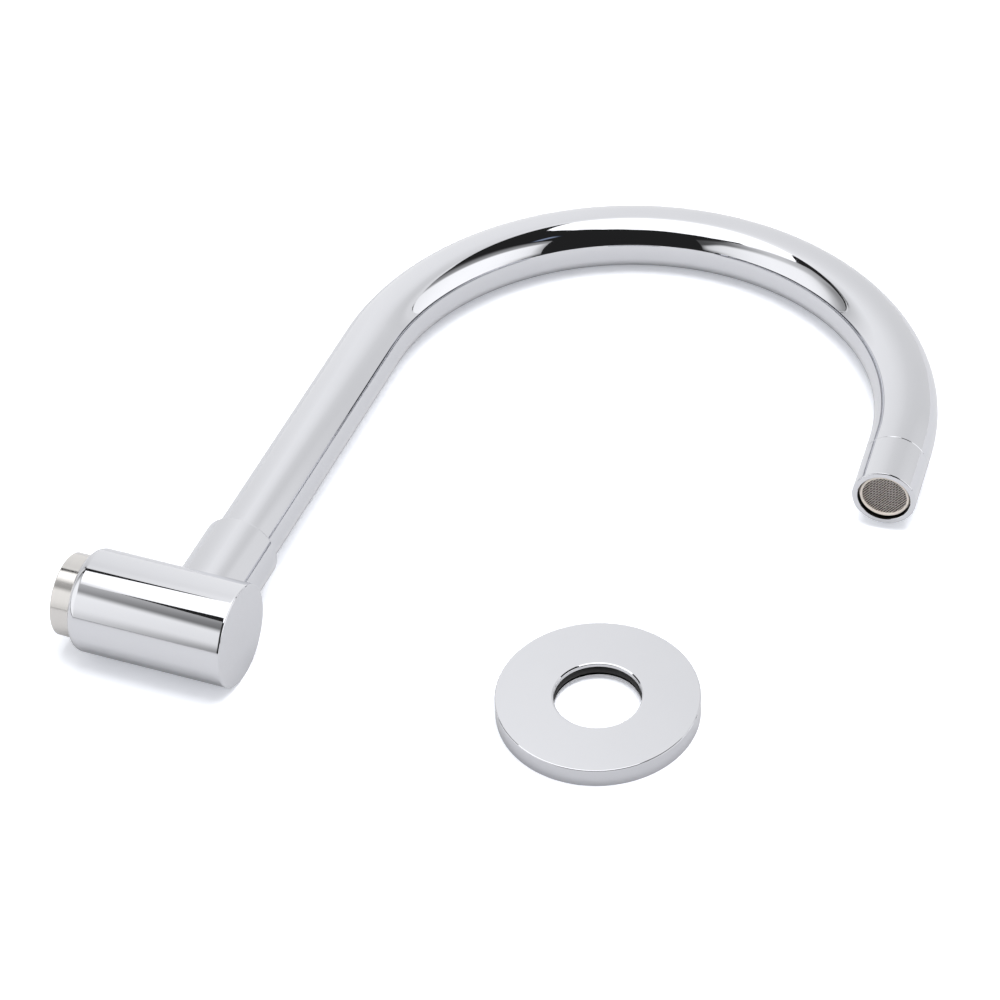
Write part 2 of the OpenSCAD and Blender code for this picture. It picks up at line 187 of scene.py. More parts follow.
world = bpy.data.worlds.new("surround")
bpy.context.scene.world = world
world.use_nodes = True
tree = world.node_tree
tree.nodes.clear()
seen, mirrored, through = ray_kinds(tree)
surround_light = 0.75
shown = (seen + mirrored + through).clamped()
surround = Signal.node(tree, "ShaderNodeBackground", {}, {
    "Color": (1, 1, 1, 1), "Strength": shown * (1 - surround_light) + surround_light})
surround.into(tree.nodes.new("ShaderNodeOutputWorld").inputs["Surface"])


def studio(right, forward, height):
    """A place given from the table's middle, along the level view: right, away, up."""
    return Vector((math.cos(camera_turn) * right + math.sin(camera_turn) * forward,
                   -math.sin(camera_turn) * right + math.cos(camera_turn) * forward, height))


lamp = bpy.data.lights.new("overhead_lamp", "AREA")
lamp.shape = "SQUARE"
lamp.size = 0.9
lamp.energy = 15.0
overhead = bpy.data.objects.new("overhead_lamp", lamp)
overhead.location = studio(0.15, -0.03, 1.2)
overhead.rotation_euler = (Vector((0, 0, 0)) - overhead.location).to_track_quat("-Z", "Y").to_euler()
overhead.visible_glossy = False
bpy.context.scene.collection.objects.link(overhead)

# ---------------------------------------------------------------- studio
# What the polished metal mirrors: a dark room, a hung paper behind the table, a
# lit panel on each side and a lit cloth overhead. Only mirror rays meet them.


def parts_of(whole):
    """The three numbers of a vector."""
    return [Signal.node(whole.socket.id_data, "ShaderNodeSeparateXYZ", {}, {0: whole}, k) for k in range(3)]


def mirrored_only(piece, strength, tint=(1, 1, 1), shade=None):
    """Make a sheet glow for mirrors alone, as bright as strength times its shade."""
    for ray in ("camera", "diffuse", "transmission", "shadow", "volume_scatter"):
        setattr(piece, "visible_" + ray, False)
    made, tree, surface = blank_material(piece.name + "_glow")
    x, y, height = parts_of(own_place(tree))
    right = x * math.cos(camera_turn) - y * math.sin(camera_turn)
    forward = x * math.sin(camera_turn) + y * math.cos(camera_turn)
    tone = between(tree, shade(right, forward, height) if shade else 1.0, (0, 0, 0), tint)
    Signal.node(tree, "ShaderNodeEmission", {}, {"Color": tone, "Strength": strength}).into(surface)
    piece.data.materials.append(made)


def fade(value, start, end):
    """0 before start and 1 after end, smooth between them."""
    return Signal.node(value.socket.id_data, "ShaderNodeMapRange", {"interpolation_type": "SMOOTHSTEP"},
                       {"Value": value, "From Min": start, "From Max": end})


def profile(value, *stops):
    """A tone drawn straight between stops, each a place along value and its tone."""
    start, end = stops[0][0], stops[-1][0]
    return Signal.node(value.socket.id_data, "ShaderNodeValToRGB", {
        "stops": [((place - start) / (end - start), tone) for place, tone in stops]},
        {0: (value - start) / (end - start)})


def strip(name, one_edge, other_edge):
    """A sheet between two edges with as many places each."""
    count = len(one_edge)
    return sheet(name, one_edge + other_edge,
                 [(k, k + 1, k + 1 + count, k + count) for k in range(count - 1)])


def side_panel(name, right, outline):
    """An upright sheet beside the table, through places given as away and up."""
    return sheet(name, [studio(right, *place) for place in outline])


room_half, room_low, room_high = 3.5, -0.05, 2.85
room = sheet("dark_room", [
    (x * room_half, y * room_half, z) for z in (room_low, room_high) for x, y in square],
    [(3, 2, 1, 0), (4, 5, 6, 7)] + [(k, (k + 1) % 4, (k + 1) % 4 + 4, k + 4) for k in range(4)])
mirrored_only(room, 0.02)

# Each row of the paper: its height, then how far right and away its two edges hang.
paper_rows = [(0.001, -0.64, 0.25, 0.85, 0.14), (0.041, -0.62, 0.27, 0.85, 0.16),
              (0.201, -0.56, 0.31, 0.85, 0.21), (0.501, -0.54, 0.4, 0.85, 0.3),
              (0.901, -0.56, 0.51, 0.825, 0.34), (1.211, -0.58, 0.62, 0.7475, 0.37)]
paper = strip("hung_paper", [studio(right, away, height) for height, right, away, _, _ in paper_rows],
              [studio(right, away, height) for height, _, _, right, away in paper_rows])


def paper_shade(right, forward, height):
    """Lit unevenly: brightest left of its middle and towards its top, with a dim
    band right of its middle; its upper left corner falls away into the dark."""
    band = profile(right, (-0.5, 0.67), (-0.3, 0.82), (-0.2, 0.92), (-0.1, 1.0), (0.0, 0.97),
                   (0.1, 0.895), (0.2, 0.805), (0.3, 0.77), (0.4, 0.76), (0.5, 0.80), (0.6, 0.86),
                   (0.7, 0.87))
    top = fade(height, 0.45, 0.9) * (1 - fade(right, 0.1, 0.4)) * 0.2 + fade(height, 0.95, 1.2) * 0.2
    corner = fade(height, 0.35, 0.5) * (1 - fade(right, -0.54, -0.42))
    return band * (top + 1) / 1.4 * (1 - corner)


mirrored_only(paper, 1.47, shade=paper_shade)

# The paper's left edge is turned forward, and dims towards its top. Each row has a
# place on that edge, then how far away and up the end of the turned part is.
edge_rows = [(-0.64, 0.25, 0.001, 0.298, 0.001), (-0.56, 0.31, 0.2, 0.411, 0.289),
             (-0.54, 0.4, 0.5, 0.559, 0.759), (-0.56, 0.51, 0.9, 0.709, 1.333)]
turned_edge = strip("turned_edge", [studio(*row[:3]) for row in edge_rows],
                    [studio(-0.88, *row[3:]) for row in edge_rows])
mirrored_only(turned_edge, 0.85, shade=lambda right, forward, height: 1 - fade(height, 0.5, 1.2) * 0.6)

left_panel = side_panel("left_panel", -0.89, [
    (-1.2, 0.03), (0.306, 0.03), (0.405, 0.271), (0.458, 0.461), (0.527, 0.765), (0.557, 1.07),
    (0.557, 1.46), (-1.2, 1.46)])


def left_shade(right, forward, height):
    """The lit panel below, and above its top edge the grey veil behind it."""
    lit = profile(forward, (-1.2, 0.08), (-1.15, 0.34), (-1.08, 0.61), (-1.0, 0.71), (-0.92, 0.77),
                  (-0.85, 0.81), (-0.7, 0.87), (-0.49, 0.945), (-0.28, 1.0), (0.06, 0.98), (0.14, 0.93),
                  (0.215, 0.82), (0.29, 0.56), (0.37, 0.37), (0.44, 0.28), (0.56, 0.27))
    lit = lit * (1 - (1 - fade(height, 0.0, 0.42)) * (1 - fade(forward, -1.15, -0.6)) * 1.1)
    veil = profile(forward, (-1.1, 0.07), (-0.85, 0.1), (-0.7, 0.15), (-0.61, 0.19), (-0.55, 0.22),
                   (-0.49, 0.27), (-0.37, 0.37), (-0.26, 0.45), (-0.14, 0.53), (-0.03, 0.6), (0.08, 0.6),
                   (0.19, 0.555), (0.31, 0.5), (0.42, 0.43), (0.53, 0.34), (0.65, 0.08))
    veil = veil * (1 - fade(height, 1.18, 1.41) * (1 - fade(forward, -0.7, -0.43)) * 0.75)
    front_corner = fade(0 - forward, 0.7, 1.2) * 0.3
    return lit + (veil - lit) * fade(height + front_corner, 0.81, 1.075)


mirrored_only(left_panel, 1.23, shade=left_shade)

right_panel = side_panel("right_panel", 1.2, [
    (-1.72, 0.03), (0.185, 0.03), (0.3, 0.4), (0.37, 0.7), (0.45, 1.1), (0.45, 1.9),
    (-1.3, 2.1), (-1.72, 2.1)])


def right_shade(right, forward, height):
    """The lit panel up to its sloping top edge, and the veil that dies away above."""
    lit = profile(forward, (-1.75, 0.3), (-1.6, 0.5), (-1.4, 0.8), (-1.2, 0.89), (-1.0, 0.93), (-0.8, 0.97),
                  (-0.5, 1.0), (-0.1, 0.99), (0.1, 0.95), (0.3, 0.9), (0.45, 0.85))
    lit = lit * (1 - (1 - fade(height, 0.0, 0.5)) * (1 - fade(forward, -1.6, -0.7)) * 0.9)
    edge = height + forward * 0.3
    veil = (1 - fade(edge, 1.35, 1.95) * 0.9) * 0.28
    return lit + (veil - lit) * fade(edge, 1.09, 1.35)


mirrored_only(right_panel, 1.31, shade=right_shade)

# The cloth's outline, right and away. The notch at its front left lets a thin line
# of the dark room show between the cloth and the left panel.
cloth_edge = [(-0.76, 0.2), (-0.72, 0.33), (-0.62, 0.39), (-0.5, 0.455), (-0.4, 0.53), (-0.33, 0.61),
              (-0.27, 0.68), (-0.1, 0.7), (0.1, 0.6), (0.2, 0.41), (0.25, 0.3), (0.29, 0.2), (0.305, 0.06),
              (0.28, -0.2), (0.15, -0.45), (-0.05, -0.57), (-0.42, -0.56), (-0.6, -0.45), (-0.64, -0.3),
              (-0.65, -0.17), (-0.7, -0.185), (-0.78, -0.2)]
cloth = sheet("lit_cloth", [studio(right, away, 1.2) for right, away in cloth_edge])
mirrored_only(cloth, 1.6, shade=lambda right, forward, height: 0.55 + fade(right, -0.8, -0.66) * 0.45)

card_left, card_right, card_front, card_back = 0.44, 0.68, -0.6, -0.4
dim_card = sheet("dim_card", [studio(right, away, 1.21) for right, away in (
    (card_left, card_front), (card_right, card_front), (card_right, card_back), (card_left, card_back))])


def card_shade(right, forward, height):
    """A patch with soft edges: wide on each side, deep in front and behind."""
    wide, deep = 0.08, 0.07
    across = fade(right, card_left, card_left + wide) * (1 - fade(right, card_right - wide, card_right))
    along = fade(forward, card_front, card_front + deep) * (1 - fade(forward, card_back - deep, card_back))
    return across * along * 0.95 + 0.05


mirrored_only(dim_card, 1.0, (0.26, 0.31, 0.42), card_shade)

# The strip between each panel's foot and the table, lit only in front on the left.
left_gap = side_panel("left_gap", -0.85, [(-1.6, 0), (0.3, 0), (0.3, 0.03), (-1.6, 0.03)])
mirrored_only(left_gap, 0.6, shade=lambda right, forward, height: 0.8 - fade(forward, -0.65, -0.3) * 0.75)
right_gap = side_panel("right_gap", 0.88, [(-1.6, 0), (0.15, 0), (0.15, 0.03), (-1.6, 0.03)])
mirrored_only(right_gap, 0.03)

# ---------------------------------------------------------------- hub
# The spout's root, turned from a solid brass bar, bored from the rear and
# chromed. Buffing has let its front edge fall away a little before the corner.

hub_radius, tube_radius = 0.020, 0.0125
hub_front, hub_rear = 0.020, -0.0435
bend_start, bend_radius = 0.174, 0.110

# The spout lies on the hub's side and on its own crown, so it leans a little.
spout_lean = math.asin((hub_radius - tube_radius) / (bend_start + bend_radius))
spout_place = Vector((-0.09164399, -0.13820048, hub_radius))
across = Vector((1, 0, 0))
upward = Vector((0, math.cos(spout_lean), -math.sin(spout_lean)))
outward = Vector((0, math.sin(spout_lean), math.cos(spout_lean)))


def spout_point(u, v, w=0.0):
    """A place on the spout: u along the hub, v along the collar, w off their plane."""
    return spout_place + u * across + v * upward + w * outward


def placed(centre, side, axis):
    """The matrix that puts a turned piece's own axis along axis, from centre."""
    other = axis.cross(side)
    return Matrix.Translation(centre) @ Matrix((side, other, axis)).transposed().to_4x4()


def rounded(outline, steps):
    """A closed outline of (along, radius, rounding) as strips from point to point,
    each with its normal at both ends: (point, normal, next point, next normal)."""
    points = [Vector(corner[:2]) for corner in outline]
    if sum(a.cross(b) for a, b in zip(points, points[1:] + points[:1])) < 0:
        outline, points = outline[::-1], points[::-1]
    arcs = []
    for k, here in enumerate(points):
        bend = outline[k][2]
        back = (points[k - 1] - here).normalized()
        on = (points[(k + 1) % len(points)] - here).normalized()
        if bend == 0:
            arcs.append([(here, None)])
            continue
        half = back.angle(on) / 2
        centre = here + (back + on).normalized() * (bend / math.sin(half))
        first, last = (here + way * (bend / math.tan(half)) - centre for way in (back, on))
        sign = -1 if back.cross(on) > 0 else 1
        spokes = [first.slerp(last, step / steps) for step in range(steps + 1)]
        arcs.append([(centre + spoke * bend, spoke * sign) for spoke in spokes])
    strips = []
    for k, arc in enumerate(arcs):
        strips += [(*one, *two) for one, two in zip(arc, arc[1:])]
        start, end = arc[-1][0], arcs[(k + 1) % len(arcs)][0][0]
        if (end - start).length > 1e-7:
            normal = Vector(((end - start).y, (start - end).x)).normalized()
            strips.append((start, normal, end, normal))
    return strips


def turned(name, outline, matrix, around=192, steps=6, holes=()):
    """A solid turned about its own axis and bored, with exact normals."""
    strips = rounded(outline, steps)
    turns = [2 * math.pi * k / around for k in range(around)]
    circle = [(math.cos(turn), math.sin(turn)) for turn in turns]
    verts, faces, normals, rings = [], [], [], {}

    def ring(point):
        key = (round(point.x, 8), round(point.y, 8))
        if key not in rings:
            rings[key] = len(verts)
            spots = circle if point.y > 1e-8 else [(0, 0)]
            verts.extend((c * point.y, s * point.y, point.x) for c, s in spots)
        return [rings[key] + (k if point.y > 1e-8 else 0) for k in range(around)]

    for one, one_normal, two, two_normal in strips:
        start, end = ring(one), ring(two)
        for k in range(around):
            n = (k + 1) % around
            corners = {start[k]: (one_normal, k), end[k]: (two_normal, k),
                       end[n]: (two_normal, n), start[n]: (one_normal, n)}
            if len(corners) > 2:
                faces.append(list(corners))
                normals += [Vector((circle[spot][0] * normal.y, circle[spot][1] * normal.y, normal.x))
                            for normal, spot in corners.values()]
    mesh = bpy.data.meshes.new(name)
    mesh.from_pydata(verts, [], faces)
    mesh.transform(matrix)
    mesh.polygons.foreach_set("use_smooth", [True] * len(mesh.polygons))
    mesh.normals_split_custom_set([matrix.to_3x3() @ normal for normal in normals])
    piece = bpy.data.objects.new(name, mesh)
    bpy.context.scene.collection.objects.link(piece)
    if holes:
        bored(piece, strips, matrix, holes)
    return piece


def bored(piece, strips, matrix, holes):
    """Cut round holes of (centre, way, radius, depth) into a turned piece. Faces of
    the turned surface keep its exact normals, and the walls of the holes get theirs."""
    kept = {}
    for corner, loop in zip(piece.data.corner_normals, piece.data.loops):
        spot = piece.data.vertices[loop.vertex_index].co
        kept.setdefault(spot.to_tuple(6), []).append(corner.vector.copy())
    for centre, way, radius, depth in holes:
        drill = bpy.data.meshes.new("drill")
        shape = bmesh.new()
        bmesh.ops.create_cone(shape, cap_ends=True, segments=96,
                              radius1=radius, radius2=radius, depth=depth)
        bmesh.ops.transform(shape, verts=shape.verts, matrix=placed(
            centre + way * (depth / 2), way.orthogonal().normalized(), way))
        shape.to_mesh(drill)
        shape.free()
        cutter = bpy.data.objects.new("drill", drill)
        bpy.context.scene.collection.objects.link(cutter)
        cut = piece.modifiers.new("cut", "BOOLEAN")
        cut.object = cutter
        view = bpy.context.evaluated_depsgraph_get()
        mesh = bpy.data.meshes.new_from_object(piece.evaluated_get(view), depsgraph=view)
        piece.modifiers.remove(cut)
        bpy.data.objects.remove(cutter)
        piece.data = mesh
    mesh.name = piece.name
    back, turn = matrix.inverted(), matrix.to_3x3()
    same_place = 4e-6
    normals = []
    for face in mesh.polygons:
        for vertex in face.vertices:
            spot = mesh.vertices[vertex].co
            likely = kept.get(spot.to_tuple(6), [])[:]
            if not likely:
                own = back @ spot
                off_axis = math.hypot(own.x, own.y)
                section = Vector((own.z, off_axis))
                for one, one_normal, two, two_normal in strips:
                    run = two - one
                    share = min(max((section - one).dot(run) / run.length_squared, 0), 1)
                    if (one + run * share - section).length < same_place:
                        flat = one_normal.lerp(two_normal, share).normalized()
                        out = flat.y / off_axis
                        likely.append(turn @ Vector((own.x * out, own.y * out, flat.x)))
            for centre, way, radius, depth in holes:
                spoke = (centre - spot) - way * (centre - spot).dot(way)
                if abs(spoke.length - radius) < same_place:
                    likely.append(spoke.normalized())
            likely.sort(key=lambda normal: normal.dot(face.normal))
            good = likely and likely[-1].dot(face.normal) > 0.9
            normals.append(likely[-1] if good else face.normal.copy())
    mesh.polygons.foreach_set("use_smooth", [True] * len(mesh.polygons))
    mesh.normals_split_custom_set(normals)


def new_skin(name, metallic):
    """A material, its surface shader, and the place that its patterns follow."""
    made = bpy.data.materials.new(name)
    made.use_nodes = True
    skin = made.node_tree.nodes["Principled BSDF"]
    skin.inputs["Metallic"].default_value = metallic
    return made, skin, own_place(made.node_tree)


def dressed(made, skin, share, colours, roughness, relief, depth, strength):
    """Finish the shader: colours mixed by share, a roughness, and a fine relief."""
    tree = made.node_tree
    between(tree, share, *colours).into(skin.inputs["Base Color"])
    roughness.into(skin.inputs["Roughness"])
    Signal.node(tree, "ShaderNodeBump", {}, {
        "Height": relief, "Distance": depth, "Strength": strength}).into(skin.inputs["Normal"])
    return made


def plated(name, bright, dull, gloss, wave_depth):
    """Buffed metal plate: its tone and gloss vary a little, as from handling, and
    its face keeps the faint waviness of the polishing wheel."""
    made, skin, place = new_skin(name, 1)
    wear, wipe, wave = uneven(place, 60.0, 4.0), uneven(place, 14.0, 2.0), uneven(place, 35.0, 1.0)
    return dressed(made, skin, wear, (bright, dull), wipe * 0.02 + gloss, wave, wave_depth, 0.4)


chrome = plated("chrome_plate", (0.735, 0.742, 0.775), (0.715, 0.722, 0.755), 0.02, 0.00002)

face_radius, corner_radius = 0.0196, 0.01993
corner_start, fall_start = 0.0197, 0.0192
corner_round, fall_round, rear_round = 0.0003, 0.003, 0.004
passage = 0.008
spigot_radius, spigot_end = 0.014, -0.0285
collar_radius, collar_seat = 0.015, 0.01173
along_hub = placed(spout_place, upward, across)
hub = turned("hub_skin", [
    (hub_front, 0, 0), (hub_front, face_radius, corner_round), (corner_start, corner_radius, corner_round),
    (fall_start, hub_radius, fall_round), (hub_rear, hub_radius, rear_round), (hub_rear, spigot_radius, 0),
    (spigot_end, spigot_radius, 0), (spigot_end, passage, 0), (passage, passage, 0), (passage, 0, 0)],
    along_hub, 256, 8, [
    (spout_point(0, collar_seat), upward, collar_radius, hub_radius),
    (spout_point(0, 0), upward, passage, hub_radius)])
hub.data.materials.append(chrome)
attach(hub, "hub")
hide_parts("hub_body")

# ---------------------------------------------------------------- collar
# A short thick ring brazed into the hub's side, chromed with it. The tube turns
# in its socket, and one small screw in the side towards the wall keeps it there.

collar_bore, collar_top = 0.01255, 0.045
lip_round, collar_round = 0.0002, 0.001
screw_height, screw_radius = 0.029, 0.002
along_collar = placed(spout_place, outward, upward)
collar = turned("collar_ring", [
    (collar_seat, collar_bore, 0), (collar_top, collar_bore, lip_round),
    (collar_top, collar_radius, collar_round), (collar_seat, collar_radius, 0)], along_collar, 256, 8,
    [(spout_point(0, screw_height), -across, screw_radius, hub_radius)])
collar.data.materials.append(chrome)
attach(collar, "hub")
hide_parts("collar")

# ---------------------------------------------------------------- retaining screw
# A stainless socket screw, sunk just under the collar's skin. Its point runs in a
# groove of the spout's foot.


def metal(name, bright, dull, gloss, grain_scale, grain_depth, stretch=(1, 1, 1)):
    """Bare turned or drawn metal: fine lines across the stretched axes, and a tone
    that shifts a little from line to line."""
    made, skin, place = new_skin(name, 1)
    drawn = Signal.node(made.node_tree, "ShaderNodeMapping", {}, {"Vector": place, "Scale": stretch})
    grain, broad = uneven(drawn, grain_scale, 3.0), uneven(drawn, grain_scale / 9, 2.0)
    return dressed(made, skin, grain * 0.5 + broad * 0.5, (bright, dull),
                   broad * 0.1 + gloss, grain, grain_depth, 0.5)


def finish_nodes(material, *names):
    """Give carried-over solids their material."""
    for name in names:
        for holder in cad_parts[name].material_slots:
            holder.material = material


steel = metal("screw_steel", (0.56, 0.55, 0.54), (0.42, 0.41, 0.40), 0.28, 1800.0, 0.00001)
finish_nodes(steel, "retaining_screw")

# ---------------------------------------------------------------- inlet adapter
# A turned brass plug with a thin nickel plate, screwed into the hub's rear. Its
# neck carries the wall flange, and its bore has the thread for the wall's pipe.

neck_radius, neck_end = 0.016, -0.0515
neck_bevel, fine_edge, bore_lip = 0.0005, 0.0001, 0.0002
relief_start, relief_end = -0.0375, -0.0355
seal_rear, seal_front, seal_radius = -0.04254, -0.0410, 0.01246
countersink, adapter_bore = 0.0106, 0.007
thread_pitch, thread_crest, thread_root = 0.001814, 0.009315, 0.010475
thread_sleeve, thread_gap = 0.0110, 0.00002

nickel = metal("turned_nickel", (0.75, 0.735, 0.72), (0.68, 0.66, 0.64), 0.06, 2600.0, 0.000006,
               (1, 0.02, 0.02))
adapter = turned("inlet_neck", [
    (neck_end, countersink, fine_edge), (neck_end, neck_radius - neck_bevel, fine_edge),
    (neck_end + neck_bevel, neck_radius, fine_edge), (hub_rear, neck_radius, 0),
    (hub_rear, spigot_radius, 0), (seal_rear, spigot_radius, 0), (seal_rear, seal_radius, 0),
    (seal_front, seal_radius, 0), (seal_front, spigot_radius, 0), (spigot_end, spigot_radius, 0),
    (spigot_end, adapter_bore, bore_lip), (relief_end, adapter_bore, 0), (relief_end, countersink, 0)],
    along_hub, 192, 5)
adapter.data.materials.append(nickel)
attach(adapter, "hub")
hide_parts("inlet_adapter")


def vector(tree, x=0.0, y=0.0, z=0.0):
    """Three values or numbers as one vector."""
    return Signal.node(tree, "ShaderNodeCombineXYZ", {}, {"X": x, "Y": y, "Z": z})


def grown(name, rule, sizes, material, matrix):
    """A plain mesh from a Geometry Nodes tree: rule(tree, size) returns its shape,
    and sizes gives each named input as a whole number or a length."""
    tree = bpy.data.node_groups.new(name, "GeometryNodeTree")
    tree.interface.new_socket("Geometry", in_out="OUTPUT", socket_type="NodeSocketGeometry")
    names = {}
    for label, value in sizes.items():
        kind = "NodeSocketInt" if isinstance(value, int) else "NodeSocketFloat"
        names[label] = tree.interface.new_socket(label, in_out="INPUT", socket_type=kind).identifier
    entry = tree.nodes.new("NodeGroupInput")
    shape = rule(tree, {label: Signal(entry.outputs[label]) for label in sizes})
    whole = Signal.node(tree, "GeometryNodeRealizeInstances", {}, {"Geometry": shape})
    finished = Signal.node(tree, "GeometryNodeSetMaterial", {}, {"Geometry": whole, "Material": material})
    end = tree.nodes.new("NodeGroupOutput")
    finished.into(end.inputs["Geometry"])
    piece = bpy.data.objects.new(name, bpy.data.meshes.new(name + "_seed"))
    bpy.context.scene.collection.objects.link(piece)
    modifier = piece.modifiers.new("rule", "NODES")
    modifier.node_group = tree
    for label, value in sizes.items():
        modifier[names[label]] = value
    view = bpy.context.evaluated_depsgraph_get()
    mesh = bpy.data.meshes.new_from_object(piece.evaluated_get(view), depsgraph=view)
    piece.modifiers.remove(modifier)
    mesh.name = name
    mesh.transform(matrix)
    mesh.materials.clear()
    mesh.materials.append(material)
    mesh.polygons.foreach_set("material_index", [0] * len(mesh.polygons))
    piece.data = mesh
    return piece


def wrapped_grid(tree, rows, around):
    """A grid, and the number of each of its points' row and column."""
    grid = Signal.node(tree, "GeometryNodeMeshGrid", {}, {
        "Size X": rows - 1, "Size Y": around, "Vertices X": rows, "Vertices Y": around + 1})
    x, y, _ = parts_of(Signal.node(tree, "GeometryNodeInputPosition"))
    return grid, x + (rows - 1) * 0.5, y + around * 0.5


def wrapped(tree, grid, place):
    """The grid laid at the given places, its meeting edges welded, smooth shaded."""
    moved = Signal.node(tree, "GeometryNodeSetPosition", {}, {"Geometry": grid, "Position": place})
    welded = Signal.node(tree, "GeometryNodeMergeByDistance", {}, {
        "Geometry": moved, "Distance": 0.0000005})
    return Signal.node(tree, "GeometryNodeSetShadeSmooth", {}, {"Geometry": welded})


def thread_rule(tree, size):
    """A sleeve whose inner face is a helical groove, running out in both ends."""
    grid, row, column = wrapped_grid(tree, size["Rows"], size["Around"])
    inside = row.math("GREATER_THAN", 0.5) * row.math("LESS_THAN", size["Rows"] - 2.5)
    closing = row.math("LESS_THAN", size["Rows"] - 1.5)
    share = ((row - 1) / (size["Rows"] - 4)).clamped() * closing
    along = size["Length"] * share
    turn = column / size["Around"]
    phase = (along / size["Pitch"] - turn).math("FRACT")
    flank = (((phase - 0.5).math("ABSOLUTE") * 2 - 0.5) * 1.25 + 0.5).clamped()
    groove = size["Crest radius"] + (size["Root radius"] - size["Crest radius"]) * flank
    open_end = size["Mouth radius"] - along
    back_end = size["Mouth radius"] - (size["Length"] - along) * 2
    threaded = groove.math("MAXIMUM", open_end).math("MAXIMUM", back_end)
    radius = size["Sleeve radius"] + (threaded - size["Sleeve radius"]) * inside
    angle = turn * (2 * math.pi)
    x, y = angle.math("COSINE") * radius, angle.math("SINE") * radius
    return wrapped(tree, grid, vector(tree, x, y, along))


thread = grown("inlet_thread", thread_rule, {
    "Rows": 120, "Around": 120, "Length": relief_start - neck_end - thread_gap, "Pitch": thread_pitch,
    "Crest radius": thread_crest, "Root radius": thread_root, "Mouth radius": countersink,
    "Sleeve radius": thread_sleeve}, nickel,
    along_hub @ Matrix.Translation((0, 0, neck_end + thread_gap)))
thread.data.set_sharp_from_angle(angle=math.radians(40))
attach(thread, "hub")

# ---------------------------------------------------------------- hub seals
# A rubber ring seals the adapter in the hub and a flat washer seals the wall's
# pipe. A plastic washer under the foot lets the spout turn.


def moulded(name, light, dark, gloss, mottle_scale, skin_depth):
    """Moulded rubber or plastic: a slightly uneven skin and tone."""
    made, skin, place = new_skin(name, 0)
    mottle, fine = uneven(place, mottle_scale, 4.0), uneven(place, mottle_scale * 8, 2.0)
    return dressed(made, skin, mottle, (light, dark), mottle * 0.15 + gloss, fine, skin_depth, 0.6)


rubber = moulded("seal_rubber", (0.012, 0.012, 0.013), (0.007, 0.007, 0.007), 0.5, 500.0, 0.00002)
slip_plastic = moulded("slip_plastic", (0.82, 0.82, 0.79), (0.76, 0.76, 0.73), 0.38, 400.0, 0.00001)
finish_nodes(rubber, "adapter_o_ring", "inlet_washer")
finish_nodes(slip_plastic, "slip_washer")

# ---------------------------------------------------------------- spout foot
# A turned brass spigot silver-soldered into the tube's lower end. Its two rubber
# rings seal it in the collar, and a split plastic ring steadies it.

brass = metal("turned_brass", (0.78, 0.60, 0.30), (0.68, 0.50, 0.23), 0.22, 2600.0, 0.000006,
              (0.02, 1, 0.02))
finish_nodes(brass, "spout_foot")
finish_nodes(rubber, "foot_o_ring_lower", "foot_o_ring_upper")
finish_nodes(slip_plastic, "slip_ring")

# ---------------------------------------------------------------- gooseneck
# One brass tube, 25 mm across, left straight above the collar and then bent over
# a round former. It is buffed along its length and chromed.

tube_bore, tube_start = 0.0115, 0.037
bend_angle = math.radians(175)
drop_length, nozzle_length = 0.032, 0.023


def tube_rule(tree, size):
    """The tube's wall: its outer face is laid from start to end and its inner face
    back again, both at their radius from a path with one bend."""
    rows = size["Outer rows"] + size["Inner rows"] + 1
    grid, row, column = wrapped_grid(tree, rows, size["Around"])
    outer = row.math("LESS_THAN", size["Outer rows"] - 0.5)
    going = row / (size["Outer rows"] - 1)
    coming = (size["Outer rows"] + size["Inner rows"] - 1 - row) / (size["Inner rows"] - 1)
    closing = row.math("GREATER_THAN", size["Outer rows"] + size["Inner rows"] - 0.5)
    share = (coming + (going - coming) * outer) * (1 - closing)
    radius = size["Bore radius"] + (size["Radius"] - size["Bore radius"]) * outer.math("MAXIMUM", closing)
    straight = size["Bend start"] - size["Start"]
    arc = size["Bend radius"] * size["Bend angle"]
    run = share * (straight + arc + size["Drop"])
    turn = ((run - straight) / size["Bend radius"]).math("MAXIMUM", 0.0).math("MINIMUM", size["Bend angle"])
    past = (run - straight - arc).math("MAXIMUM", 0.0)
    cosine, sine = turn.math("COSINE"), turn.math("SINE")
    u = size["Bend radius"] * (1 - cosine) + past * sine
    v = size["Start"] + run.math("MINIMUM", straight) + size["Bend radius"] * sine + past * cosine
    angle = column / size["Around"] * (2 * math.pi)
    out, up = radius * angle.math("COSINE"), radius * angle.math("SINE")
    return wrapped(tree, grid, vector(tree, u + cosine * out, v - sine * out, up))


tube = grown("gooseneck_wall", tube_rule, {
    "Outer rows": 500, "Inner rows": 120, "Around": 144, "Radius": tube_radius, "Bore radius": tube_bore,
    "Start": tube_start, "Bend start": bend_start, "Bend radius": bend_radius, "Bend angle": bend_angle,
    "Drop": drop_length - nozzle_length}, chrome,
    Matrix.Translation(spout_place) @ Matrix((across, upward, outward)).transposed().to_4x4())
tube.data.set_sharp_from_angle(angle=math.radians(40))
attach(tube, "spout")
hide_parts("gooseneck_tube")

# ---------------------------------------------------------------- nozzle
# A turned end of the tube's own diameter, brazed in and chromed with it. A fine
# turned groove marks the seam, and its mouth is bored for the aerator.

